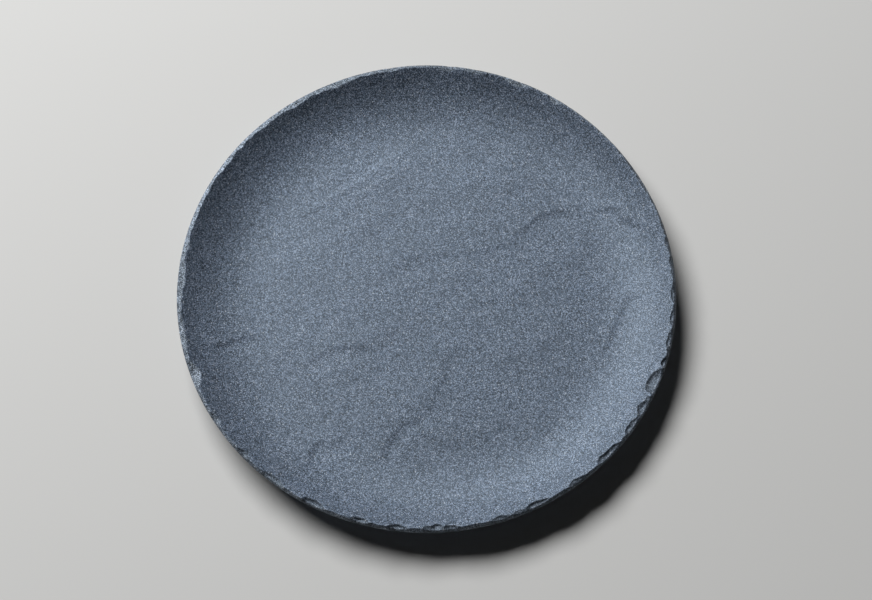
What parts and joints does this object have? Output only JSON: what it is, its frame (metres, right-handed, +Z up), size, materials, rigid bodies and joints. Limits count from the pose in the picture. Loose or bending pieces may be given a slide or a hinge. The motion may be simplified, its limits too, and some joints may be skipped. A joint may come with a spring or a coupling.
{
  "type": "slate serving plate",
  "caption": "Round dished slate serving plate with a flat floor, a low rising wall and a chipped rim, standing on stick-on foam feet.",
  "frame": {"origin": "centre of the plate's footprint, on the surface that its feet stand on", "axes": "+Z up out of the dish, -Y towards the viewer of the picture, +X to the viewer's right"},
  "size_m": [0.28, 0.28, 0.0197],
  "materials": {
    "slate": "matte",
    "foot_foam": "matte",
    "adhesive_film": "satin"
  },
  "bodies": {
    "root": {"slate_plate": "slate", "front_left_foot": "foot_foam", "front_right_foot": "foot_foam", "rear_right_foot": "foot_foam", "rear_left_foot": "foot_foam", "front_left_adhesive": "adhesive_film", "front_right_adhesive": "adhesive_film", "rear_right_adhesive": "adhesive_film", "rear_left_adhesive": "adhesive_film"}
  },
  "joints": []
}
